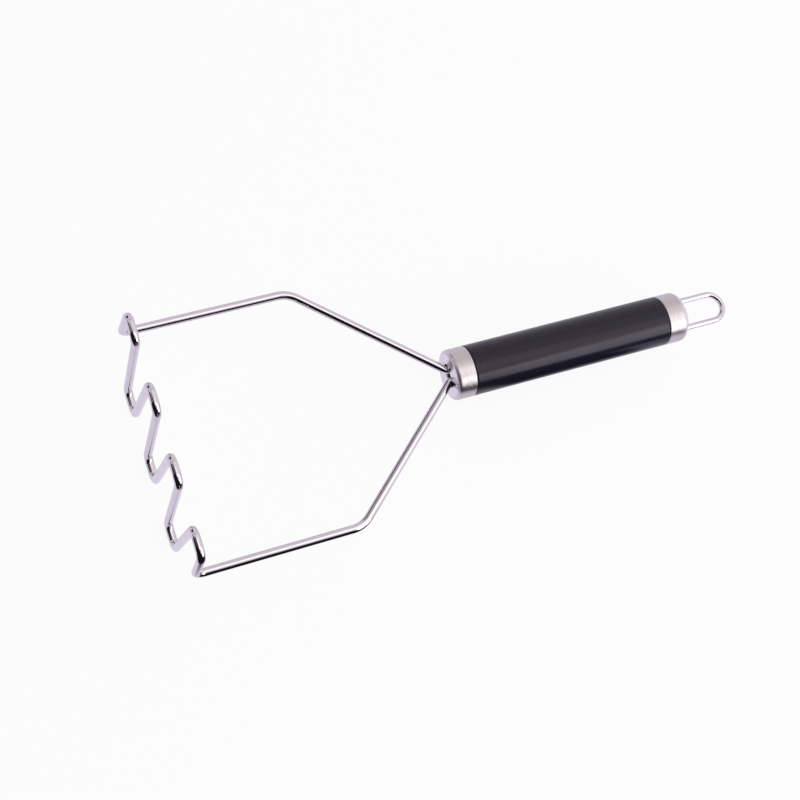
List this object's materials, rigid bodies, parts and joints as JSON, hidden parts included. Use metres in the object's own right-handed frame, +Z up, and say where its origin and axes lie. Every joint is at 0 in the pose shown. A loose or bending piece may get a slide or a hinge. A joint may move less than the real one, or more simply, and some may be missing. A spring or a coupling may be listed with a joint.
{
  "type": "potato masher",
  "caption": "Wire potato masher: a wave-shaped wire head on two arms that meet in a round black handle with steel caps, and a wire loop to hang it by.",
  "frame": {"origin": "below the middle of the overall length and width, level with the undersides of the wave's troughs", "axes": "+X along the handle from the head to the hanging loop, +Y across the head, +Z up from the troughs to the crests of the wave"},
  "size_m": [0.26, 0.105, 0.0555],
  "materials": {
    "polished_wire": "bright polished wire",
    "loop_wire": "bright polished thin wire",
    "brushed_cap": "brushed round the handle, polished rims",
    "core_steel": "plain drawn tube",
    "black_grip": "satin black",
    "plug_plastic": "moulded black"
  },
  "bodies": {
    "root": {"head_wire": "polished_wire", "front_cap": "brushed_cap", "front_plug": "plug_plastic", "core_tube": "core_steel", "grip_sleeve": "black_grip", "rear_plug": "plug_plastic", "rear_cap": "brushed_cap", "hanging_loop": "loop_wire"}
  },
  "joints": []
}
